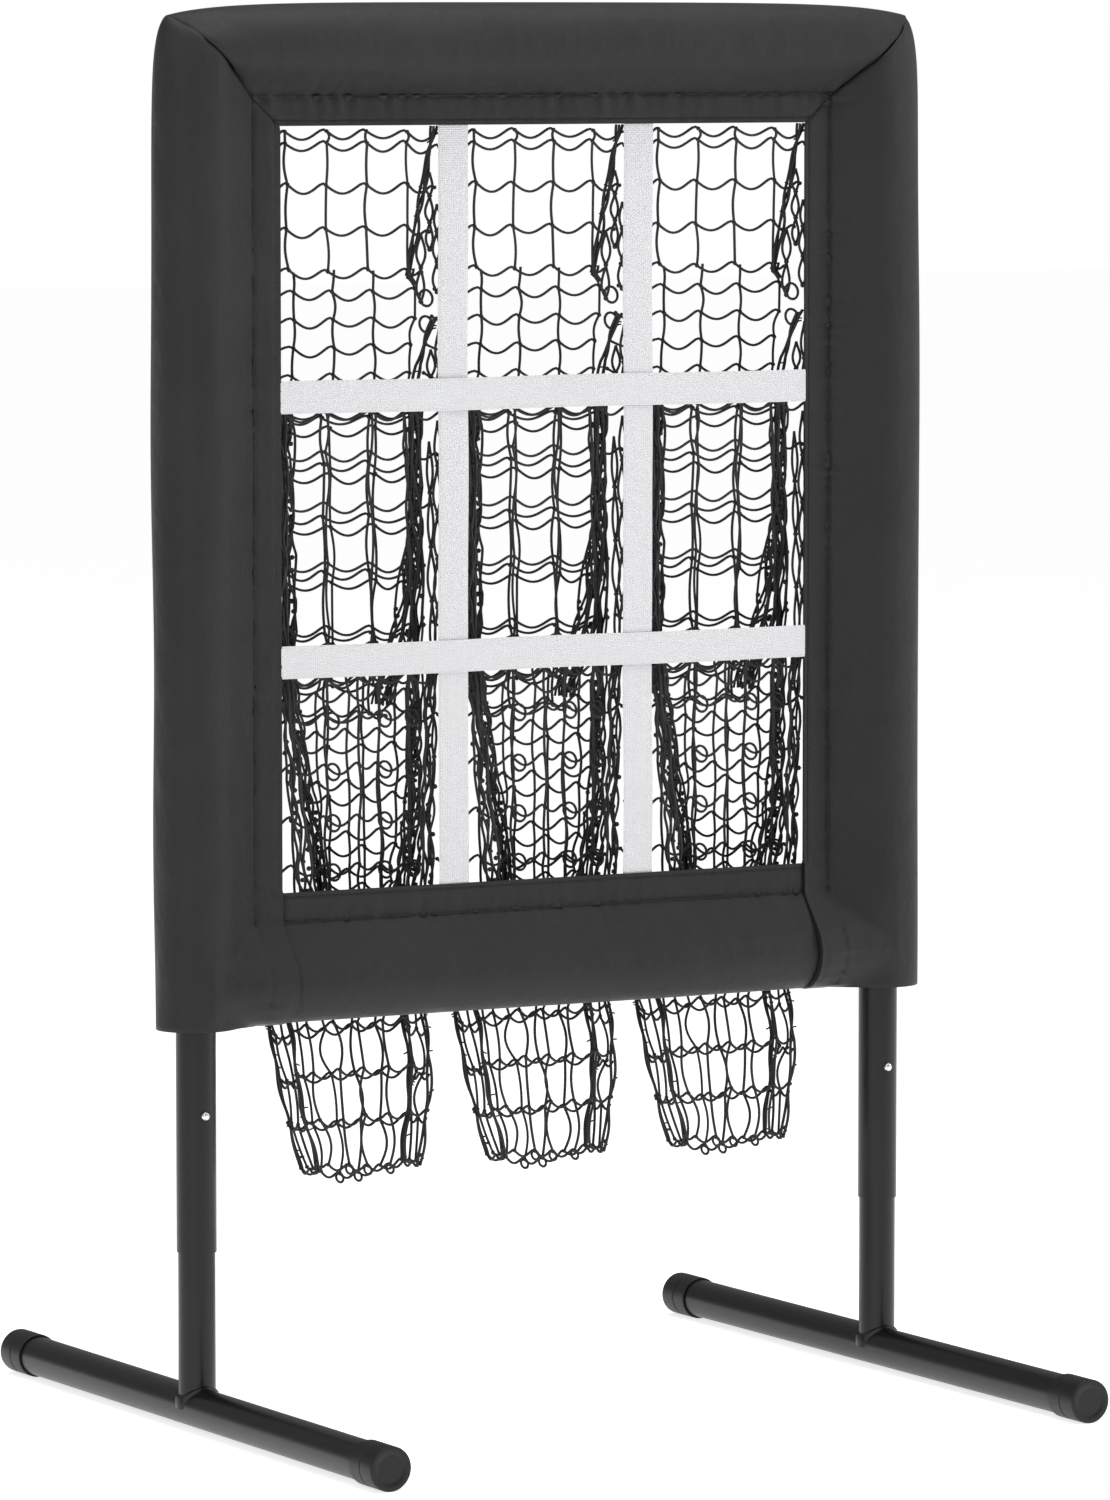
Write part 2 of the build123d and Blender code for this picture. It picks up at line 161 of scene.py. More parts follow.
def moulded_plastic():
    material, tree, surface = shader("cap_plastic", (0.008, 0.008, 0.0083), 0.42, Specular_IOR_Level=0.34)
    grain = noise_node(tree, 1600, 2)
    wear = noise_node(tree, 40)
    vary_roughness(tree, surface, wear.outputs["Fac"], 0.36, 0.52)
    tint(tree, surface, wear.outputs["Fac"], (0.006, 0.006, 0.007), (0.011, 0.011, 0.012))
    raise_surface(tree, surface, grain.outputs["Fac"], 0.0001)
    return material


def turned(name, profile, centre, along, material, body, steps=64):
    """A closed ring of profile points (distance along the axis, radius), turned about the axis Y."""
    work = bmesh.new()
    rings = []
    for step in range(steps):
        turn = 2 * math.pi * step / steps
        ring = []
        for reach, radius in profile:
            x = centre[0] + radius * math.cos(turn)
            z = centre[2] + radius * math.sin(turn)
            ring.append(work.verts.new((x, centre[1] + along * reach, z)))
        rings.append(ring)
    for ring, following in zip(rings, rings[1:] + rings[:1]):
        for k in range(len(profile) - 1):
            work.faces.new((ring[k], ring[k + 1], following[k + 1], following[k]))
    bmesh.ops.remove_doubles(work, verts=work.verts, dist=1e-6)
    bmesh.ops.recalc_face_normals(work, faces=work.faces)
    mesh = bpy.data.meshes.new(name)
    work.to_mesh(mesh)
    work.free()
    return finish_mesh(name, mesh, material, body, math.radians(28))


cap_material = moulded_plastic()
cap_length = 0.043
cap_wall_end = 0.003
ring_at, ring_width, ring_depth = 0.0225, 0.0012, 0.0007
for side, _ in sides:
    for end, along in (("front", 1), ("rear", -1)):
        low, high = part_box(f"{side}_{end}_cap")
        middle = (low + high) / 2
        radius = (high.x - low.x) / 2
        start = (middle.x, low.y if along > 0 else high.y, middle.z)
        edge = 0.0016
        bore = radius - 0.00185
        corner = [
            (edge * (1 - math.sin(a)), radius - edge * (1 - math.cos(a)))
            for a in np.linspace(math.pi / 2, 0, 6)
        ]
        profile = [
            (0.0009, 0.0),
            (0.0009, radius * 0.62),
            (0.0002, radius * 0.68),
            *corner,
            (ring_at - ring_width, radius),
            (ring_at - ring_width / 2, radius - ring_depth),
            (ring_at + ring_width / 2, radius - ring_depth),
            (ring_at + ring_width, radius),
            (cap_length - 0.0006, radius),
            (cap_length, radius - 0.0006),
            (cap_length, bore),
            (cap_wall_end, bore),
            (cap_wall_end, 0.0),
        ]
        cap = turned(f"{side}_{end}_end_cap", profile, start, along, cap_material, f"{side}_leg")
        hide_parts(f"{side}_{end}_cap")

# The snap locks: a domed button of bright zinc on a V of strip spring inside the post, and
# the zinc pan-head screws that hold the elbows and the lower bar.


def bright_metal(name, color, roughness):
    material, tree, surface = shader(name, color, roughness, Metallic=1.0)
    brush = noise_node(tree, 700, 4, stretch=(1, 1, 6))
    vary_roughness(tree, surface, brush.outputs["Fac"], roughness * 0.8, roughness * 1.3)
    raise_surface(tree, surface, brush.outputs["Fac"], 0.00003)
    return material


zinc = bright_metal("bright_zinc", (0.74, 0.74, 0.75), 0.24)
strip = bright_metal("spring_strip", (0.42, 0.42, 0.44), 0.34)
for side, _ in sides:
    finished_node(f"{side}_snap_button", zinc, f"{side}_button")
    spring = finished_node(f"{side}_snap_spring", strip, f"{side}_leg")
    low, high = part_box(f"{side}_snap_spring")
    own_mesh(spring)
finished_node("frame_screws", zinc, "frame")

# The foam: split closed-cell foam tubes pushed over the uprights and bars before the cover goes on.
# Extruded grey-black foam with a fine open skin where it is slit.


def foam_skin():
    material, tree, surface = shader("foam_skin", (0.030, 0.030, 0.032), 0.85)
    cells = noise_node(tree, 620, 5)
    tint(tree, surface, cells.outputs["Fac"], (0.022, 0.022, 0.024), (0.045, 0.045, 0.047))
    raise_surface(tree, surface, cells.outputs["Fac"], 0.0005)
    return material


def grid_mesh(name, points, closed_across=False):
    """Quads over a grid of points [row][column]; a closed grid joins its last column to its first."""
    points = np.asarray(points, float)
    rows, columns = points.shape[:2]
    index = np.arange(rows * columns).reshape(rows, columns)
    across = np.concatenate([index, index[:, :1]], axis=1) if closed_across else index
    quads = np.stack([across[:-1, :-1], across[:-1, 1:], across[1:, 1:], across[1:, :-1]], axis=-1)
    faces = quads.reshape(-1, 4).tolist()
    mesh = bpy.data.meshes.new(name)
    mesh.from_pydata(points.reshape(-1, 3).tolist(), [], faces)
    work = bmesh.new()
    work.from_mesh(mesh)
    bmesh.ops.recalc_face_normals(work, faces=work.faces)
    work.to_mesh(mesh)
    work.free()
    return mesh


def foam_tube(name, node, along, outer, inner, slit):
    """A slit foam tube over the length of its node, its outside slightly uneven."""
    low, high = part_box(node)
    middle = (low + high) / 2
    start, stop = low[along], high[along]
    turns = np.linspace(slit, 2 * math.pi - slit, 56)
    across = 0 if along == 2 else 2
    rows = []
    for step, place in enumerate(np.linspace(start, stop, 60)):
        to_end = min(place - start, stop - place)
        swell = 0.0004 * math.sin(step * 0.9) - 0.0006 - 0.008 * math.exp(-to_end / 0.05)
        ring = [(outer + swell, t) for t in turns] + [(inner, t) for t in turns[::-1]]
        row = []
        for radius, turn in ring:
            point = [middle.x, middle.y, middle.z]
            point[across] += radius * math.cos(turn)
            point[1] += radius * math.sin(turn)
            point[along] = place
            row.append(point)
        rows.append(row)
    mesh = grid_mesh(name, rows, closed_across=True)
    work = bmesh.new()
    work.from_mesh(mesh)
    bmesh.ops.holes_fill(work, edges=[e for e in work.edges if e.is_boundary])
    bmesh.ops.triangulate(work, faces=[f for f in work.faces if len(f.verts) > 4])
    bmesh.ops.recalc_face_normals(work, faces=work.faces)
    work.to_mesh(mesh)
    work.free()
    piece = finish_mesh(name, mesh, foam_material, "frame")
    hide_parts(node)
    return piece


foam_material = foam_skin()
foam_outer, foam_inner = 0.0338, 0.0196
for node, along in (("left_foam", 2), ("right_foam", 2), ("top_foam", 0), ("bottom_foam", 0)):
    foam_tube(f"{node}_tube", node, along, foam_outer, foam_inner, 0.03)

# The cover: charcoal coated nylon sewn into four sleeves round the foam. Front and back panels run
# together into a flat stitched hem round the opening. The top corners are mitred and pull in to a
# point, and the lower corners widen to take in the lower bar.

axis_x = (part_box("right_upper_upright")[0].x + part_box("right_upper_upright")[1].x) / 2
top_z = (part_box("top_bar")[0].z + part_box("top_bar")[1].z) / 2
low_z = (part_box("bottom_bar")[0].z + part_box("bottom_bar")[1].z) / 2
open_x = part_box("lower_cross_strap")[1].x
open_low, open_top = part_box("left_upright_strap")[0].z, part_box("left_upright_strap")[1].z
sleeve_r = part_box("cover_bottom_sleeve")[1].y
rim_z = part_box("cover_left_sleeve")[0].z
outer_x, outer_z = axis_x + sleeve_r, top_z + sleeve_r
hem = 0.028
hem_half = 0.0016
hem_y = -0.004
mitre_rise = (outer_z - open_top) / (outer_x - open_x)


def woven_nylon():
    """Coated oxford nylon: a fine plain weave, a soft sheen, and slack creases."""
    material, tree, surface = shader(
        "coated_nylon", (0.019, 0.019, 0.020), 0.55, Specular_IOR_Level=0.24, Sheen_Weight=0.02
    )
    cloud = noise_node(tree, 9, 5)
    tint(tree, surface, cloud.outputs["Fac"], (0.013, 0.013, 0.0135), (0.026, 0.026, 0.027))
    vary_roughness(tree, surface, cloud.outputs["Fac"], 0.42, 0.56)
    crease = noise_node(tree, 38, 3, stretch=(1, 1, 0.6))
    under = raise_surface(tree, surface, crease.outputs["Fac"], 0.0034)
    place = tree.nodes.new("ShaderNodeTexCoord")
    weave = []
    for direction in ("X", "Z"):
        threads = tree.nodes.new("ShaderNodeTexWave")
        threads.bands_direction = direction
        threads.inputs["Scale"].default_value = 420
        tree.links.new(place.outputs["Object"], threads.inputs["Vector"])
        weave.append(threads)
    cross = tree.nodes.new("ShaderNodeMath")
    cross.operation = "MAXIMUM"
    tree.links.new(weave[0].outputs["Fac"], cross.inputs[0])
    tree.links.new(weave[1].outputs["Fac"], cross.inputs[1])
    raise_surface(tree, surface, cross.outputs["Value"], 0.00012, under)
    return material


def ease(x):
    x = np.clip(x, 0, 1)
    return x * x * (3 - 2 * x)


def half_depth(u, reach):
    """Half the sleeve's depth at a distance u from the tube's axis towards the hem."""
    neck = reach - hem
    lean = math.acos(sleeve_r / math.hypot(neck, hem_half))
    touch = sleeve_r * math.cos(lean)
    side = np.sqrt(np.maximum(sleeve_r**2 - np.minimum(u, touch) ** 2, 0))
    start = sleeve_r * math.sin(lean)
    slope = hem_half + (start - hem_half) * (neck - u) / (neck - touch)
    return np.where(u <= touch, side, np.where(u < neck, slope, hem_half))


def smooth_max(a, b, blend=0.006):
    return (a + b + np.sqrt((a - b) ** 2 + blend**2)) / 2


def wobble(a, b, seed, waves=7):
    """Gentle seeded unevenness over two lengths, between about -1 and 1."""
    draw = np.random.default_rng(seed)
    total = 0
    for _ in range(waves):
        fa, fb = draw.uniform(-1, 1, 2)
        total = total + np.sin(a * fa + b * fb + draw.uniform(0, 2 * math.pi))
    return total / math.sqrt(waves)


def puckers(length, from_neck, seed):
    """Short gathers that run off a row of stitches and die out within a few centimetres."""
    gather = wobble(length * 480, length * 210, seed, 6)
    patch = ease(wobble(length * 34, length * 17, seed + 1, 4) * 0.6 + 0.5)
    fade = np.exp(-np.abs(from_neck) / 0.011)
    return gather * (0.3 + patch) * fade


def section_places(reach):
    """Distances from the axis along the front panel, round the tube, and back: (u, turn, face)."""
    flat = np.concatenate([np.linspace(reach, reach - hem, 12), np.linspace(reach - hem - 0.0012, 0, 30)])
    arc = np.linspace(0, math.pi, 30)[1:-1]
    front = [(u, None, -1) for u in flat]
    around = [(None, a, 0) for a in arc]
    return front + around + [(u, None, 1) for u in flat[::-1]]


def sleeve(name, node, kind, reach, seed, sign=1):
    """One sleeve of the cover as a closed cloth tube; kind is side, top or bottom."""
    places = section_places(reach)
    u = np.array([p[0] if p[0] is not None else -sleeve_r * math.sin(p[1]) for p in places])
    face = np.array([p[2] for p in places])
    arc_y = np.array([0 if p[1] is None else -sleeve_r * math.cos(p[1]) for p in places])
    length = {"side": outer_z - rim_z, "top": 2 * outer_x, "bottom": 2 * open_x}[kind]
    steps = np.linspace(0, 1, int(length / 0.0042))
    if kind == "top":
        steps = (1 - np.cos(steps * math.pi)) / 2 * 0.35 + steps * 0.65
    along, across = np.meshgrid(steps, u, indexing="ij")
    face = np.broadcast_to(face, across.shape)
    if kind == "side":
        end = open_top + (reach - across) * mitre_rise
        place = rim_z + along * (end - rim_z)
        to_corner = end - place
        fall, pinch = 0.0125 * np.exp(-to_corner / 0.024), 0.55 * np.exp(-to_corner / 0.045)
    elif kind == "top":
        end = open_x + (reach - across) / mitre_rise
        place = (2 * along - 1) * end
        to_corner = end - np.abs(place)
        fall, pinch = 0.0125 * np.exp(-to_corner / 0.062), 0.55 * np.exp(-to_corner / 0.045)
    else:
        place = (2 * along - 1) * open_x
        to_corner = open_x - np.abs(place)
        fall, pinch = np.zeros_like(place), np.zeros_like(place)
    depth = half_depth(across, reach)
    if kind == "side":
        height = place - low_z
        lower = half_depth(np.abs(np.minimum(height, 0)) * -1 + np.maximum(height, 0), open_low - low_z)
        lower = np.where(height < open_low - low_z, lower, 0)
        inner = (across >= 0) & (height < open_low - low_z)
        depth = np.where(inner, smooth_max(depth, lower, 0.004), depth)
    if kind == "top":
        mate = half_depth(axis_x - (open_x + (reach - across) / mitre_rise), axis_x - open_x)
        depth = depth + (mate - depth) * np.exp(-to_corner / 0.02)
    outside = ease(-across / sleeve_r)
    centre = hem_y * ease(across / reach)
    y = np.where(face == 0, np.broadcast_to(arc_y, across.shape), face * depth)
    y = y * (1 - pinch * ease((sleeve_r * 0.6 - across) / (2 * sleeve_r))) + centre
    shift = across + fall * outside
    neck = reach - hem
    crest = np.where(face == 0, np.sign(y), face)
    slack = 0.0019 * wobble(place * 21, across * 60 + crest * 2, seed)
    slack = slack * ease((neck - across) / 0.02)
    gathers = 0.0015 * puckers(place, across - neck, seed + 5)
    groove = -0.0014 * np.exp(-(((across - neck) / 0.0022) ** 2))
    groove = groove - 0.0006 * np.exp(-(((across - reach + 0.0045) / 0.0018) ** 2))
    seam = -0.0016 * np.exp(-((to_corner / 0.003) ** 2)) if kind != "bottom" else 0
    fan = 0.0010 * wobble(across * 260, place * 40, seed + 9, 5) * np.exp(-to_corner / 0.022)
    fan = fan * ease((neck - across) / 0.01)
    if kind == "bottom":
        seam = -0.0012 * np.exp(-((to_corner / 0.003) ** 2))
    y = y + crest * np.where(np.abs(y - centre) > 0.0008, slack + gathers + groove + seam + fan, 0)
    if kind == "side":
        x, z = sign * (axis_x - shift), place - fall * outside
    elif kind == "top":
        x, z = place - np.sign(place) * fall * outside, top_z - shift
    else:
        x, z = place, low_z + shift
    mesh = grid_mesh(name, np.stack([x, y, z], axis=-1), closed_across=True)
    piece = finish_mesh(name, mesh, nylon, "frame", math.radians(70))
    wall = piece.modifiers.new("cloth", "SOLIDIFY")
    wall.thickness = 0.0009
    wall.offset = -1
    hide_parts(node)
    return piece


nylon = woven_nylon()
side_reach, top_reach, low_reach = axis_x - open_x, top_z - open_top, open_low - low_z
cover = {
    "left": sleeve("left_cover_sleeve", "cover_left_sleeve", "side", side_reach, 11, -1),
    "right": sleeve("right_cover_sleeve", "cover_right_sleeve", "side", side_reach, 23, 1),
    "top": sleeve("top_cover_sleeve", "cover_top_sleeve", "top", top_reach, 31),
    "bottom": sleeve("bottom_cover_sleeve", "cover_bottom_sleeve", "bottom", low_reach, 47),
}

# The webbing: white ribbed polyester straps, 32 mm wide. The two upright ones hang behind the two
# level ones, and all their ends are sewn into the hem.


def ribbed_webbing(name, direction):
    material, tree, surface = shader(name, (0.76, 0.77, 0.80), 0.62, Sheen_Weight=0.15)
    place = tree.nodes.new("ShaderNodeTexCoord")
    ribs = tree.nodes.new("ShaderNodeTexWave")
    ribs.bands_direction = direction
    ribs.inputs["Scale"].default_value = 150
    ribs.inputs["Distortion"].default_value = 0.6
    ends = tree.nodes.new("ShaderNodeTexWave")
    ends.bands_direction = "Z" if direction == "X" else "X"
    ends.inputs["Scale"].default_value = 130
    for node in (ribs, ends):
        tree.links.new(place.outputs["Object"], node.inputs["Vector"])
    both = tree.nodes.new("ShaderNodeMath")
    both.operation = "MULTIPLY"
    tree.links.new(ribs.outputs["Fac"], both.inputs[0])
    tree.links.new(ends.outputs["Fac"], both.inputs[1])
    tint(tree, surface, both.outputs["Value"], (0.69, 0.69, 0.705), (0.84, 0.84, 0.86))
    raise_surface(tree, surface, both.outputs["Value"], 0.0006)
    return material


def strap(name, node, along, seed):
    """A webbing strap over its node, with rolled edges and a trace of slack."""
    low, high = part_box(node)
    across = 0 if along == 2 else 2
    draw = np.random.default_rng(seed)
    phase = draw.uniform(0, 6, 3)
    thick = high.y - low.y
    middle_y = (high.y + low.y) / 2
    width = high[across] - low[across]
    centre = (high[across] + low[across]) / 2
    shape = [(w, math.sqrt(max(1 - abs(2 * w / width) ** 14, 0.0))) for w in np.linspace(-width / 2, width / 2, 15)]
    rows = []
    for place in np.linspace(low[along], high[along], 120):
        sway = 0.0004 * math.sin(place * 19 + phase[0])
        wave = 0.0005 * math.sin(place * 31 + phase[1])
        row = []
        for face, span in ((-1, shape), (1, shape[::-1])):
            for w, full in span[(0 if face < 0 else 1):(len(span) if face < 0 else -1)]:
                point = [0, middle_y + wave + face * full * thick / 2, 0]
                point[along], point[across] = place, centre + w + sway
                row.append(point)
        rows.append(row)
    mesh = grid_mesh(name, rows, closed_across=True)
    work = bmesh.new()
    work.from_mesh(mesh)
    bmesh.ops.holes_fill(work, edges=[e for e in work.edges if e.is_boundary])
    bmesh.ops.recalc_face_normals(work, faces=work.faces)
    work.to_mesh(mesh)
    work.free()
    piece = finish_mesh(name, mesh, webbing[along], "frame")
    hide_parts(node)
    return piece


webbing = {2: ribbed_webbing("webbing_upright", "Z"), 0: ribbed_webbing("webbing_level", "X")}
for seed, (name, along) in enumerate(
    (("left_upright", 2), ("right_upright", 2), ("lower_cross", 0), ("upper_cross", 0))
):
    strap(f"{name}_webbing", f"{name}_strap", along, seed)

# The stitching: black lockstitch, one row where the hem ends and one close to the opening, front and back.
# The thread sinks between the stitches. Small triangles are sewn over the inner corners.


def node_group(name, floats, materials):
    """A geometry node group with named inputs; returns the tree, its input node and its output node."""
    tree = bpy.data.node_groups.new(name, "GeometryNodeTree")
    tree.interface.new_socket("Geometry", in_out="INPUT", socket_type="NodeSocketGeometry")
    for label in floats:
        tree.interface.new_socket(label, in_out="INPUT", socket_type="NodeSocketFloat")
    for label in materials:
        tree.interface.new_socket(label, in_out="INPUT", socket_type="NodeSocketMaterial")
    tree.interface.new_socket("Geometry", in_out="OUTPUT", socket_type="NodeSocketGeometry")
    return tree, tree.nodes.new("NodeGroupInput"), tree.nodes.new("NodeGroupOutput")


def chain(tree, source, *steps):
    """Links geometry through nodes; each step is (node type, {input: value or output socket})."""
    for kind, inputs in steps:
        node = tree.nodes.new(kind)
        tree.links.new(source, node.inputs[0])
        if "mode" in inputs:
            node.mode = inputs.pop("mode")
        for label, value in inputs.items():
            if isinstance(value, bpy.types.NodeSocket):
                tree.links.new(value, node.inputs[label])
            else:
                node.inputs[label].default_value = value
        source = node.outputs[0]
    return source


def grown(name, mesh, tree, values, body):
    """Runs a node group on a mesh and keeps the result as one finished piece."""
    seedling = bpy.data.objects.new(f"{name}_lines", mesh)
    bpy.context.scene.collection.objects.link(seedling)
    grow = seedling.modifiers.new("grow", "NODES")
    grow.node_group = tree
    for item in tree.interface.items_tree:
        if item.in_out == "INPUT" and item.name in values:
            grow[item.identifier] = values[item.name]
    seedling.update_tag()
    bpy.context.view_layer.update()
    evaluated = seedling.evaluated_get(bpy.context.evaluated_depsgraph_get())
    result = bpy.data.meshes.new_from_object(evaluated)
    result.name = name
    bpy.data.objects.remove(seedling)
    for polygon in result.polygons:
        polygon.use_smooth = True
    result.materials.clear()
    result.materials.append(values["Finish"])
    piece = bpy.data.objects.new(name, result)
    bpy.context.scene.collection.objects.link(piece)
    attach(piece, body)
    return piece


def polyline_mesh(name, lines, thick=None):
    """A mesh of open lines, with the cord radius of each point as an attribute."""
    points, edges, radii = [], [], []
    for k, line in enumerate(lines):
        first = len(points)
        points.extend(tuple(p) for p in line)
        edges.extend((first + n, first + n + 1) for n in range(len(line) - 1))
        radii.extend([thick[k] if thick else 0.0] * len(line))
    mesh = bpy.data.meshes.new(name)
    mesh.from_pydata(points, edges, [])
    mesh.attributes.new("thick", "FLOAT", "POINT").data.foreach_set("value", radii)
    return mesh


def stitch_group():
    tree, given, made = node_group("row_of_stitches", ("Pitch", "Stitch Length", "Thread"), ("Finish",))
    rod = tree.nodes.new("GeometryNodeMeshCylinder")
    rod.inputs["Vertices"].default_value = 6
    for label, source in (("Radius", "Thread"), ("Depth", "Stitch Length")):
        tree.links.new(given.outputs[source], rod.inputs[label])
    line = chain(
        tree, given.outputs["Geometry"],
        ("GeometryNodeMeshToCurve", {}),
        ("GeometryNodeResampleCurve", {"mode": "LENGTH", "Length": given.outputs["Pitch"]}),
    )
    heading = tree.nodes.new("GeometryNodeInputTangent")
    turn = tree.nodes.new("FunctionNodeAlignRotationToVector")
    turn.axis = "Z"
    tree.links.new(heading.outputs["Tangent"], turn.inputs["Vector"])
    rows = chain(
        tree, line,
        ("GeometryNodeInstanceOnPoints",
         {"Instance": rod.outputs["Mesh"], "Rotation": turn.outputs["Rotation"]}),
        ("GeometryNodeRealizeInstances", {}),
        ("GeometryNodeSetMaterial", {"Material": given.outputs["Finish"]}),
    )
    tree.links.new(rows, made.inputs["Geometry"])
    return tree


def sewing_thread():
    material, tree, surface = shader("sewing_thread", (0.010, 0.010, 0.011), 0.55)
    twist = noise_node(tree, 1500, 1)
    raise_surface(tree, surface, twist.outputs["Fac"], 0.0001)
    return material


def box_line(inset, y):
    """A run of stitches round the opening, at a distance outside it."""
    x, high, low = open_x + inset, open_top + inset, open_low - inset
    corners = [(-x, y, high), (x, y, high), (x, y, low), (-x, y, low), (-x, y, high)]
    lines = []
    for start, end in zip(corners, corners[1:]):
        count = int((Vector(end) - Vector(start)).length / 0.01)
        lines.append([Vector(start).lerp(Vector(end), n / count) for n in range(count + 1)])
    return lines


thread = sewing_thread()
rows = []
for inset in (0.0045, hem):
    for face in (-1, 1):
        rows += box_line(inset, hem_y + face * (hem_half + 0.0001))
tack = 0.012
for side, sign in sides:
    for corner_z, up in ((open_top, 1), (open_low, -1)):
        x, z = sign * (open_x + hem), corner_z + up * hem
        y = hem_y - hem_half - 0.0012
        tip = [(x, y, z), (x + sign * tack, y, z + up * tack * 0.2), (x + sign * tack * 0.3, y, z + up * tack)]
        rows.append([Vector(p) for p in tip + tip[:1]])
stitches = stitch_group()
seams = grown("hem_stitches", polyline_mesh("hem_lines", rows), stitches,
              {"Pitch": 0.0036, "Stitch Length": 0.0027, "Thread": 0.00042, "Finish": thread},
              "frame")

# The nets: black braided cord knotted into bags, three across and three down. Each bag starts behind
# its opening, runs back and down behind the row below, and is gathered into thick corner seams.


def braided_cord():
    material, tree, surface = shader("net_cord", (0.010, 0.010, 0.011), 0.7, Sheen_Weight=0.05)
    braid = noise_node(tree, 1300, 2)
    tint(tree, surface, braid.outputs["Fac"], (0.006, 0.006, 0.007), (0.016, 0.016, 0.017))
    raise_surface(tree, surface, braid.outputs["Fac"], 0.0004)
    return material


def net_group():
    tree, given, made = node_group("knotted_net", ("Knot Size",), ("Finish",))
    thick = tree.nodes.new("GeometryNodeInputNamedAttribute")
    thick.inputs["Name"].default_value = "thick"
    ring = tree.nodes.new("GeometryNodeCurvePrimitiveCircle")
    ring.inputs["Resolution"].default_value = 6
    ring.inputs["Radius"].default_value = 1
    cords = chain(
        tree, given.outputs["Geometry"],
        ("GeometryNodeMeshToCurve", {}),
        ("GeometryNodeCurveToMesh",
         {"Profile Curve": ring.outputs["Curve"], "Scale": thick.outputs["Attribute"], "Fill Caps": True}),
    )
    ball = tree.nodes.new("GeometryNodeMeshIcoSphere")
    ball.inputs["Subdivisions"].default_value = 1
    ball.inputs["Radius"].default_value = 1
    loose = tree.nodes.new("GeometryNodeInputMeshVertexNeighbors")
    alone = tree.nodes.new("FunctionNodeCompare")
    alone.data_type = "INT"
    alone.operation = "EQUAL"
    tree.links.new(loose.outputs["Vertex Count"], alone.inputs[2])
    alone.inputs[3].default_value = 0
    spin = tree.nodes.new("FunctionNodeRandomValue")
    spin.data_type = "FLOAT_VECTOR"
    spin.inputs["Max"].default_value = (6.28, 6.28, 6.28)
    size = tree.nodes.new("ShaderNodeMath")
    size.operation = "MULTIPLY"
    tree.links.new(thick.outputs["Attribute"], size.inputs[0])
    tree.links.new(given.outputs["Knot Size"], size.inputs[1])
    knots = chain(
        tree, given.outputs["Geometry"],
        ("GeometryNodeInstanceOnPoints",
         {"Selection": alone.outputs["Result"], "Instance": ball.outputs["Mesh"],
          "Rotation": spin.outputs[0], "Scale": size.outputs["Value"]}),
    )
    join = tree.nodes.new("GeometryNodeJoinGeometry")
    tree.links.new(cords, join.inputs[0])
    tree.links.new(knots, join.inputs[0])
    net = chain(
        tree, join.outputs[0],
        ("GeometryNodeRealizeInstances", {}),
        ("GeometryNodeSetMaterial", {"Material": given.outputs["Finish"]}),
    )
    tree.links.new(net, made.inputs["Geometry"])
    return tree


def bag_shape(node):
    """Centre across, and by height the front depth, rear depth and half width of a net node."""
    points = np.array([v.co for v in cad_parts[node].data.vertices], float)
    middle = (points[:, 0].min() + points[:, 0].max()) / 2
    groups = []
    for point in points[np.argsort(points[:, 2])]:
        if not groups or point[2] - groups[-1][0][2] > 0.012:
            groups.append([])
        groups[-1].append(point)
    table = []
    for group in groups:
        near = np.array(group)
        table.append(
            (near[:, 2].mean(), near[:, 1].min(), near[:, 1].max(), np.abs(near[:, 0] - middle).max())
        )
    return middle, np.array(table)


cord_r = 0.00135
view_slope = 0.56


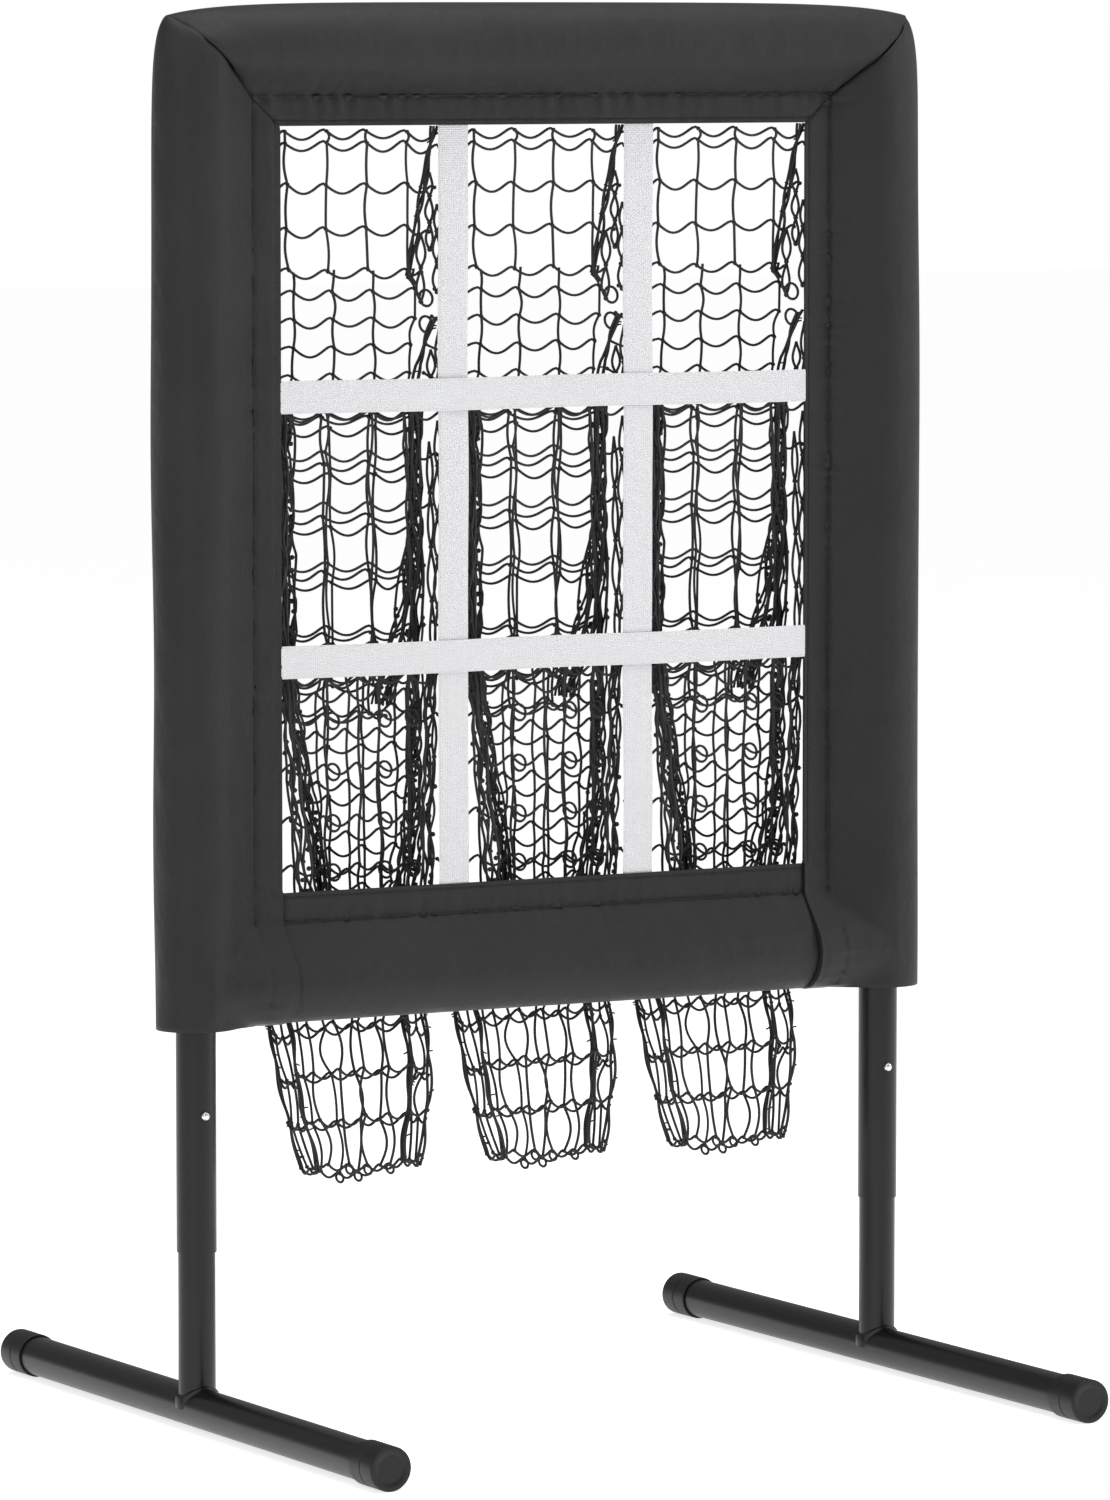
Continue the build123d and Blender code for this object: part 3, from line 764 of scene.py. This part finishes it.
class Bag:
    """One net bag: gathers its cords and knots, in metres, before they are made solid."""

    def __init__(self, node, seed, depth_share):
        self.x, self.table = bag_shape(node)
        self.low, self.high = self.table[0, 0], self.table[-1, 0]
        self.draw = np.random.default_rng(seed)
        self.share, self.gather = depth_share, 1.0
        self.lines, self.radii = [], []

    def at(self, z, column):
        return float(np.interp(z, self.table[:, 0], self.table[:, column]))

    def front(self, z):
        return self.at(z, 1)

    def rear(self, z):
        return self.front(z) + (self.at(z, 2) - self.front(z)) * self.share

    def half(self, z):
        belly = math.sin(math.pi * np.clip((0.372 - z) / 0.15, 0, 1))
        return self.at(z, 3) * self.gather + 0.005 * belly

    def cord(self, points, radius=cord_r):
        self.lines.append(np.asarray(points, float))
        self.radii.append(radius)

    def knot(self, point, size=1.0):
        self.cord([point], cord_r * size)

    def jitter(self, size=0.001):
        return self.draw.normal(0, size, 3)

    def level(self, knots, dip=0.0078, lift=0.686, knotted=True):
        """A cord across through its knots: out of each knot it sinks, then climbs to the next."""
        line = []
        for a, b in zip(knots, knots[1:]):
            depth = dip * self.draw.uniform(0.8, 1.2)
            span = math.dist(a, b)
            depth = min(depth, span * 0.24)
            for t in np.linspace(0, 1, 14)[:-1]:
                p = np.array(a) * (1 - t) + np.array(b) * t
                p[2] -= depth * (math.sin(3.897 * t) + lift * t**14)
                line.append(p)
        line.append(np.array(knots[-1]))
        self.cord(line)
        if knotted:
            for k in knots:
                self.knot(k)

    def drop(self, knots, bow=0.0016):
        """A cord down through its knots, each length slightly bowed."""
        line = []
        for a, b in zip(knots, knots[1:]):
            push = self.draw.normal(0, bow, 2)
            for t in np.linspace(0, 1, 10)[:-1]:
                p = np.array(a) * (1 - t) + np.array(b) * t
                p[:2] += push * math.sin(math.pi * t)
                line.append(p)
        line.append(np.array(knots[-1]))
        self.cord(line)

    def along(self, path, pitch=0.003):
        path = np.asarray(path, float)
        reach = np.concatenate([[0], np.cumsum(np.linalg.norm(np.diff(path, axis=0), axis=1))])
        places = np.linspace(0, reach[-1], max(int(reach[-1] / pitch), 4))
        return np.stack([np.interp(places, reach, path[:, k]) for k in range(3)], axis=1), places

    def seam(self, path, strands=3, spread=0.0022, wild=0.0012, thorns=True, tail=True):
        """A gathered corner: strands laid together along a path, with thread ends standing off."""
        line, places = self.along(path)
        for n in range(strands):
            start = 2 * math.pi * n / strands
            twist = places / 0.021 + start
            loose = self.draw.uniform(0, 6, 4)
            stray_x = wild * np.sin(places / 0.0083 + loose[0]) + wild * np.sin(places / 0.019 + loose[1])
            stray_z = wild * np.sin(places / 0.011 + loose[2])
            out = line.copy()
            out[:, 0] += spread * np.cos(twist) * 0.8 + stray_x
            out[:, 1] += spread * np.sin(twist)
            out[:, 2] += stray_z
            self.cord(out, cord_r * 1.1)
        if thorns:
            for place in self.draw.uniform(0, 1, int(places[-1] / 0.017)):
                foot = line[int(place * (len(line) - 1))]
                lean = self.draw.choice([-1, 1]) * self.draw.uniform(0.0035, 0.0065)
                tip = foot + np.array([lean, -0.001, self.draw.uniform(-0.003, 0.003)])
                self.cord([foot, (foot + tip) / 2 + self.jitter(0.0004), tip], cord_r * 0.6)
        if tail:
            end = line[-1]
            self.cord([end, end + [0.004, 0, -0.003], end + [0.008, 0, -0.008]], cord_r * 2)

    def bunch(self, path, width, strands, seed_size=0.004):
        """A wide gather of slack cord: many strands that wander and cross within a width."""
        line, places = self.along(path, 0.0035)
        for n in range(strands):
            home = (n / max(strands - 1, 1) - 0.5) * width
            loose = self.draw.uniform(0, 6.3, 4)
            out = line.copy()
            sway = np.sin(places / self.draw.uniform(0.006, 0.012) + loose[0]) * seed_size * 0.5
            sway += np.sin(places / self.draw.uniform(0.014, 0.03) + loose[1]) * seed_size * 0.6
            out[:, 0] += np.clip(home + sway, -width / 2, width / 2)
            out[:, 1] += np.sin(places / 0.017 + loose[2]) * 0.003 + n % 3 * 0.0025 - 0.0025
            self.cord(out)
        for place in np.arange(0.006, places[-1], 0.0095):
            k = int(place / places[-1] * (len(line) - 1))
            spread = self.draw.uniform(-0.5, 0.5) * width
            self.knot(line[k] + [spread, self.draw.uniform(-0.003, 0.003), 0], 1.15)

    def teardrops(self, top, bottom, count, width, lean=0.0):
        """A chain of tall narrow loops, knotted where they meet."""
        line, _ = self.along([top, bottom])
        stops = np.linspace(0, len(line) - 1, count + 1).astype(int)
        for a, b in zip(stops, stops[1:]):
            for face in (-1, 1):
                wide = width * self.draw.uniform(0.7, 1.2)
                part = line[a:b + 1].copy()
                t = np.linspace(0, 1, len(part))
                bulge = np.sin(math.pi * t ** 1.3) * wide / 2
                part[:, 0] += face * bulge + lean * np.sin(math.pi * t)
                part[:, 1] += face * bulge * 0.3
                self.cord(part)
            self.knot(line[b], 1.2)

    def ringlet(self, centre, radius):
        """A slack round loop that hangs off a knot."""
        turns = np.linspace(0, 2 * math.pi, 18)
        ring = [
            np.array(centre) + [radius * math.sin(a), 0.002 * math.cos(a), radius * 1.1 * math.cos(a)]
            for a in turns
        ]
        self.cord(ring)

    def make(self, name, node, finish, group):
        mesh = polyline_mesh(f"{name}_lines", self.lines, self.radii)
        piece = grown(name, mesh, group, {"Knot Size": 1.75, "Finish": finish}, "frame")
        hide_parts(node)
        return piece


def lattice(bag, heights, columns, depth, lean=view_slope, dip=0.0078, edges=True, first=0):
    """A wall of net: cords across at the heights, cords down at the columns, each leaning with depth."""
    grid = []
    for n, z in enumerate(heights):
        row = []
        for column in columns:
            y = depth(z)
            limit = bag.half(z)
            x = np.clip(column + lean * y, -limit, limit)
            row.append(np.array([bag.x + x, y, z]) + bag.jitter(0.0007))
        grid.append(row)
    for row in grid[first:]:
        z, y = row[0][2], row[0][1]
        left, right = bag.x - bag.half(z), bag.x + bag.half(z)
        knots = list(row)
        if edges:
            if knots[0][0] - left > 0.004:
                knots = [np.array([left, y, z + 0.001])] + knots
            if right - knots[-1][0] > 0.004:
                knots = knots + [np.array([right, y, z - 0.004])]
        bag.level(knots, dip)
    for column in zip(*grid):
        bag.drop(list(column))
    return grid


def side_wall(bag, heights, sign, near, far, fraction=(0.35, 0.7)):
    """A narrow side wall between two seams, drawn up into tall loops."""
    for part in fraction:
        knots = []
        for n, z in enumerate(heights):
            y = near(z) + (far(z) - near(z)) * part + (0.0035 if n % 2 else -0.0035)
            knots.append(np.array([bag.x + sign * bag.half(z), y, z]))
        bag.drop(knots, 0.0028)
        for k in knots:
            bag.knot(k)
    for z in heights:
        a = np.array([bag.x + sign * bag.half(z), near(z), z])
        b = np.array([bag.x + sign * bag.half(z), far(z), z - 0.004])
        bag.level([a, (a + b) / 2, b], 0.007, knotted=False)


def path_on(bag, side, depth, heights, inset=0.0):
    return [(bag.x + side * (bag.half(z) - inset), depth(z), z) for z in heights]


def heights_between(high, low, pitch):
    return list(np.linspace(high, low, max(int(round((high - low) / pitch)), 1) + 1))


cord_finish = braided_cord()
net = net_group()
columns_four = (-0.0759, -0.0332, 0.0095, 0.0535)
strap_half = 0.0155
upper_z = (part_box("upper_cross_strap")[0].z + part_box("upper_cross_strap")[1].z) / 2
lower_z = (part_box("lower_cross_strap")[0].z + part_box("lower_cross_strap")[1].z) / 2
net_columns = ("left", "centre", "right")


def mouth_wall(bag, top, fold, bottom, pitch, low_pitch):
    """The part of a bag seen through its own opening: the rear wall, its right seams and loops."""
    upper = [top - 0.006] + heights_between(top - 0.016, fold, pitch)
    under = heights_between(fold - 0.020, bottom, low_pitch)
    lattice(bag, upper, columns_four, bag.rear, edges=True)
    lattice(bag, [fold] + under, [c + 0.006 for c in columns_four], bag.rear, first=1)
    right = bag.x + bag.half(top) - 0.009
    seam = [(right, 0.004, top), (right - 0.002, bag.rear(top - 0.05), top - 0.05)]
    seam += [(right - 0.006, bag.rear(fold), fold - 0.006)]
    bag.seam(seam)
    second = fold - 0.045
    bag.seam([(right, 0.004, second), (right - 0.004, 0.028, second - 0.045), (right - 0.006, 0.036, bottom - 0.01)])
    for high, low, x, y, count in (
        (top - 0.045, fold + 0.02, -0.001, 0.010, 3),
        (top - 0.075, fold - 0.02, 0.003, 0.003, 3),
        (fold + 0.035, fold - 0.03, -0.003, 0.024, 2),
        (second - 0.03, bottom, 0.000, 0.010, 2),
        (second - 0.01, bottom, 0.005, 0.003, 2),
    ):
        bag.teardrops((right + x, y, high), (right + x, y, low), count, 0.010)
    for z in (fold - 0.02, second + 0.0):
        bag.ringlet((right - 0.004, 0.012, z - 0.006), 0.007)


for row_index, row_name in enumerate(("top", "middle", "bottom")):
    for column_index, column_name in enumerate(net_columns):
        node = f"pocket_{row_name}_{column_name}"
        bag = Bag(node, 100 + row_index, (1.0, 0.8, 0.75)[row_index])
        bag.draw = np.random.default_rng(100 + row_index)
        if row_name == "top":
            sill = upper_z
            mouth_wall(bag, open_top, 1.089, sill - 0.01, 0.041, 0.029)
            behind = [0.952, 0.907, 0.856, 0.802, 0.741, 0.700, 0.662]
            gap = 0.012
        elif row_name == "middle":
            sill = lower_z
            top = upper_z - strap_half
            wall = [top, 0.918, 0.869, 0.810, 0.749, 0.715]
            lattice(bag, wall, (-0.078, -0.034, 0.014, 0.058), bag.rear)
            right = bag.x + bag.half(top) - 0.012
            rear_path = [(bag.x + min(0.056 + view_slope * bag.rear(z), 0.088), bag.rear(z) * 0.8, z) for z in wall]
            rear_path[0] = (rear_path[0][0], 0.008, wall[0])
            bag.bunch(rear_path, 0.015, 8, 0.003)
            bag.bunch([(bag.x - 0.078, 0.008, z) for z in wall], 0.013, 9, 0.003)
            bag.teardrops((right + 0.008, 0.006, top - 0.01), (right + 0.008, 0.006, sill), 5, 0.010)
            bag.teardrops((right + 0.002, 0.012, top - 0.03), (right + 0.006, 0.012, sill), 4, 0.009)
            behind = [0.690, 0.652, 0.603, 0.552, 0.515, 0.480, 0.450]
            gap = 0.017
        else:
            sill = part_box("cover_bottom_sleeve")[1].z
            top = lower_z - strap_half
            wall = [top, 0.670, 0.620, 0.570, 0.522, 0.490]
            lattice(bag, wall, (-0.070, -0.035, 0.000, 0.022, 0.055), bag.rear, dip=0.011)
            right = bag.x + bag.half(top) - 0.010
            bag.bunch([(right, 0.009 + (bag.rear(z) - 0.009) * 0.25, z) for z in wall], 0.013, 6, 0.003)
            bag.bunch([(bag.x - 0.078 + n * 0.006, 0.008, z) for n, z in enumerate(wall)], 0.015, 5)
            for z in wall[1:]:
                for offset in (-0.028, 0.028, 0.058):
                    bag.ringlet((bag.x + offset + 0.56 * bag.rear(z), bag.rear(z), z - 0.006), 0.007)
            behind = [0.470, 0.430, 0.372, 0.329, 0.286, bag.low + 0.018]
            gap = 0.008
        start = sill - (0.005 if row_name != "bottom" else 0.02)
        front = [start] + [z for z in behind if z < start]
        rear = [z - gap for z in front if z - gap > bag.low]
        walls = heights_between(start, bag.low + 0.008, 0.03)
        bag.share = 0.8 if row_name == "bottom" else 0.45
        if row_name == "bottom":
            bag.gather = 0.90
            bag.x += 0.013
            for heights, places, depth in (
                (front, (-0.75, -0.35, 0.02, 0.40, 0.72), bag.front),
                (rear, (-0.60, -0.18, 0.20, 0.56), bag.rear),
            ):
                grid = []
                for z in heights:
                    sag = np.clip((0.30 - z) / 0.08, 0, 1) * 0.011
                    point = [[bag.x + s * bag.half(z), depth(z), z - sag * (1 - s * s)] for s in places]
                    grid.append([np.array(p) + bag.jitter(0.0012) for p in point])
                for z, level in zip(heights, grid):
                    ends = [np.array([bag.x + side * bag.half(z), depth(z), z]) for side in (-1, 1)]
                    bag.level([ends[0], *level, ends[1]], 0.0075)
                for column in zip(*grid):
                    bag.drop(list(column), 0.0034)
                for tip in grid[-1][1:-1]:
                    bag.ringlet(tip - [0, 0, 0.004], 0.0038)
            for sign in (-1, 1):
                bag.seam(path_on(bag, sign, bag.front, walls), 2, 0.0014, 0.0009, tail=False)
                bag.seam(path_on(bag, sign, bag.rear, walls), 2, 0.0014, 0.0009, tail=False)
                side_wall(bag, heights_between(start, bag.low + 0.012, 0.042), sign, bag.front, bag.rear)
        else:
            top_row = row_name == "top"
            near = (-0.038, 0.011) if top_row else (-0.045, -0.012, 0.022, 0.052)
            far = (-0.031, 0.017) if top_row else (-0.034, 0.004, 0.038)
            lattice(bag, front, near, bag.front, edges=False)
            lattice(bag, rear, far, bag.rear, edges=False)
            drift = 0.0 if top_row else 0.16
            for depth, strands, rows_there in ((bag.front, 5, front), (bag.rear, 4, rear)):
                left_path, right_path = [], []
                for z in walls:
                    y = depth(z)
                    inward = -0.078 + drift * (start - z)
                    left_path.append((bag.x + inward + view_slope * y, y, z))
                    right_path.append((bag.x + min(bag.half(z) + 0.010, 0.060 + view_slope * y), y, z))
                bag.bunch(left_path, 0.013, strands)
                bag.bunch(right_path, 0.012, strands)
                heights, lefts, rights = (np.array(v) for v in zip(*(
                    (l[2], l[0], r[0]) for l, r in zip(left_path[::-1], right_path[::-1])
                )))
                for z in rows_there:
                    columns = near if depth == bag.front else far
                    y = depth(z)
                    a = np.array([np.interp(z, heights, lefts), y, z])
                    b = np.array([np.interp(z, heights, rights), y, z - 0.003])
                    inner = [np.array([bag.x + c + view_slope * y, y, z]) for c in columns]
                    bag.level([a, inner[0]], 0.007)
                    bag.level([inner[-1], b], 0.007)
        bag.make(f"{row_name}_{column_name}_net", node, cord_finish, net)

# The set: a pale seamless floor and soft studio lights, with the camera a long way off at about
# head height.


def floor_paint():
    material, tree, surface = shader("pale_floor", (0.93, 0.93, 0.93), 0.55)
    haze = noise_node(tree, 2)
    vary_roughness(tree, surface, haze.outputs["Fac"], 0.5, 0.6)
    surface.inputs["Emission Color"].default_value = (1, 1, 1, 1)
    surface.inputs["Emission Strength"].default_value = 0.72
    return material


def soft_light(name, place, target, size, power):
    lamp = bpy.data.lights.new(name, "AREA")
    lamp.shape = "RECTANGLE"
    lamp.size, lamp.size_y = size
    lamp.energy = power
    holder = bpy.data.objects.new(name, lamp)
    holder.location = place
    holder.rotation_euler = (Vector(target) - Vector(place)).to_track_quat("-Z", "Y").to_euler()
    bpy.context.scene.collection.objects.link(holder)
    return holder


floor_mesh = bpy.data.meshes.new("studio_floor")
floor_mesh.from_pydata([(-30, -30, 0), (30, -30, 0), (30, 30, 0), (-30, 30, 0)], [], [(0, 1, 2, 3)])
floor_mesh.materials.append(floor_paint())
studio_floor = bpy.data.objects.new("studio_floor", floor_mesh)
bpy.context.scene.collection.objects.link(studio_floor)

heart = (0, 0, 0.7)
lights = [
    soft_light("left_box", (-3.4, -3.0, 2.6), heart, (0.9, 2.4), 42),
    soft_light("right_box", (3.2, -1.6, 2.2), heart, (0.7, 2.2), 46),
    soft_light("over_head", (0, -0.4, 4.0), heart, (3.0, 2.0), 84),
]

room = bpy.data.worlds.new("studio")
room.use_nodes = True
sky = room.node_tree.nodes["Background"]
sky.inputs["Color"].default_value = (1, 1, 1, 1)
seen = room.node_tree.nodes.new("ShaderNodeLightPath")
strength = room.node_tree.nodes.new("ShaderNodeMapRange")
strength.inputs["To Min"].default_value = 0.28
strength.inputs["To Max"].default_value = 1.0
room.node_tree.links.new(seen.outputs["Is Camera Ray"], strength.inputs["Value"])
room.node_tree.links.new(strength.outputs["Result"], sky.inputs["Strength"])
bpy.context.scene.world = room
bpy.context.scene.view_settings.view_transform = "Standard"

camera_place, camera_aim = Vector((-3.873, -6.921, 1.328)), Vector((0.0087, -0.0049, 0.6277))
view = bpy.data.cameras.new("front_view")
view.lens = 199.0
view.sensor_width = 36
view.clip_end = 100
camera = bpy.data.objects.new("front_view", view)
camera.location = camera_place
camera.rotation_euler = (camera_aim - camera_place).to_track_quat("-Z", "Y").to_euler()
bpy.context.scene.collection.objects.link(camera)
bpy.context.scene.camera = camera
